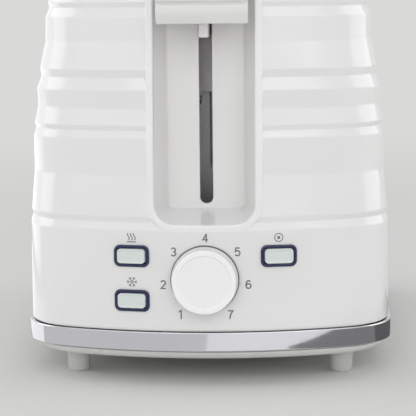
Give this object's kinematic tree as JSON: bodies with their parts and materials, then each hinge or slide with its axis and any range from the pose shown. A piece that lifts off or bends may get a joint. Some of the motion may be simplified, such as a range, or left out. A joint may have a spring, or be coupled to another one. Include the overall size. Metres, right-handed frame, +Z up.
{
  "type": "pop up toaster",
  "caption": "Two-slice pop-up toaster with a ribbed housing, lever carriage with bread racks, folding wire guards, browning dial, push buttons and a crumb tray.",
  "frame": {"origin": "on the table, below the middle of the whole toaster", "axes": "+Z up, +Y towards the crumb tray end, so the lever and dial face -Y; +X to the right as seen from the lever end"},
  "size_m": [0.184, 0.3002, 0.2126],
  "materials": {
    "housing_white": "gloss moulded white",
    "channel_grey": "gloss moulded pale grey",
    "steel": "brushed",
    "zinc_steel": "zinc plated",
    "trim_chrome": "polished",
    "base_white": "satin moulded white",
    "foot_white": "soft white",
    "mica": "matt mica sheet",
    "ribbon": "flat resistance wire",
    "spring_steel": "drawn wire",
    "iron": "sintered iron",
    "copper": "enamelled winding",
    "board": "solder mask",
    "black_plastic": "moulded black",
    "ivory_block": "matt insulator",
    "bezel_navy": "gloss navy",
    "cap_pale": "translucent pale cap",
    "knob_white": "gloss white",
    "gland_grey": "soft dark grommet"
  },
  "bodies": {
    "chassis": {"housing": "housing_white", "lever_trough": "channel_grey", "top_plate": "steel", "base_trim": "trim_chrome", "base_plate": "base_white", "foot_front_left": "foot_white", "foot_front_right": "foot_white", "foot_rear_left": "foot_white", "foot_rear_right": "foot_white", "foot_screws": "zinc_steel", "front_plate": "zinc_steel", "rear_plate": "zinc_steel", "heat_shield_left": "steel", "heat_shield_right": "steel", "heater_left": "mica", "heater_centre": "mica", "heater_right": "mica", "ribbon_left": "ribbon", "ribbon_centre": "ribbon", "ribbon_right": "ribbon", "guide_rod": "zinc_steel", "return_spring": "spring_steel", "magnet_yoke": "iron", "magnet_coil": "copper", "control_board": "board", "board_screws": "zinc_steel", "browning_control": "black_plastic", "button_switches": "black_plastic", "power_contacts": "ivory_block", "bezel_reheat": "bezel_navy", "bezel_defrost": "bezel_navy", "bezel_stop": "bezel_navy", "cord_gland": "gland_grey", "terminal_block": "ivory_block", "chassis_screws": "zinc_steel"},
    "carriage": {"carriage_bracket": "zinc_steel", "guide_bush": "ivory_block", "keeper_plate": "iron", "lever_knob": "knob_white", "rack_left": "spring_steel", "rack_right": "spring_steel"},
    "guard_lo": {"guard_left_outer": "spring_steel"},
    "guard_li": {"guard_left_inner": "spring_steel"},
    "guard_ri": {"guard_right_inner": "spring_steel"},
    "guard_ro": {"guard_right_outer": "spring_steel"},
    "dial": {"dial_knob": "knob_white", "dial_shaft": "knob_white"},
    "reheat_button": {"button_reheat": "cap_pale"},
    "defrost_button": {"button_defrost": "cap_pale"},
    "stop_button": {"button_stop": "cap_pale"},
    "tray": {"crumb_tray": "steel", "tray_grip": "housing_white"}
  },
  "joints": [
    {"name": "lever_slide", "type": "slide", "parent": "chassis", "child": "carriage", "axis": [0, 0, -1], "range_m": [0, 0.08], "stiffness_N_per_m": 100, "springref_m": -0.06, "deforming": ["return_spring"]},
    {"name": "dial_turn", "type": "hinge", "parent": "chassis", "child": "dial", "pos_m": [0, -0.1408, 0.0527], "axis": [0, -1, 0], "range_deg": [-144, 144]},
    {"name": "reheat_press", "type": "slide", "parent": "chassis", "child": "reheat_button", "axis": [0.1946, 0.9809, 0], "range_m": [0, 0.0018], "stiffness_N_per_m": 300, "springref_m": -0.002},
    {"name": "defrost_press", "type": "slide", "parent": "chassis", "child": "defrost_button", "axis": [0.1946, 0.9809, 0], "range_m": [0, 0.0018], "stiffness_N_per_m": 300, "springref_m": -0.002},
    {"name": "stop_press", "type": "slide", "parent": "chassis", "child": "stop_button", "axis": [-0.1946, 0.9809, 0], "range_m": [0, 0.0018], "stiffness_N_per_m": 300, "springref_m": -0.002},
    {"name": "crumb_tray_slide", "type": "slide", "parent": "chassis", "child": "tray", "axis": [0, 1, 0], "range_m": [0, 0.15]},
    {"name": "guard_lo_tilt", "type": "hinge", "parent": "chassis", "child": "guard_lo", "pos_m": [-0.039, 0.0079, 0.066], "axis": [0, 1, 0], "range_deg": [0, 4.01]},
    {"name": "guard_li_tilt", "type": "hinge", "parent": "chassis", "child": "guard_li", "pos_m": [-0.021, 0.0079, 0.066], "axis": [0, -1, 0], "range_deg": [0, 4.01]},
    {"name": "guard_ri_tilt", "type": "hinge", "parent": "chassis", "child": "guard_ri", "pos_m": [0.021, 0.0079, 0.066], "axis": [0, 1, 0], "range_deg": [0, 4.01]},
    {"name": "guard_ro_tilt", "type": "hinge", "parent": "chassis", "child": "guard_ro", "pos_m": [0.039, 0.0079, 0.066], "axis": [0, -1, 0], "range_deg": [0, 4.01]}
  ],
  "couplings": [
    {"joint": "guard_lo_tilt", "follows": "lever_slide", "rad_per_m": 0.8727},
    {"joint": "guard_li_tilt", "follows": "lever_slide", "rad_per_m": 0.8727},
    {"joint": "guard_ri_tilt", "follows": "lever_slide", "rad_per_m": 0.8727},
    {"joint": "guard_ro_tilt", "follows": "lever_slide", "rad_per_m": 0.8727}
  ]
}
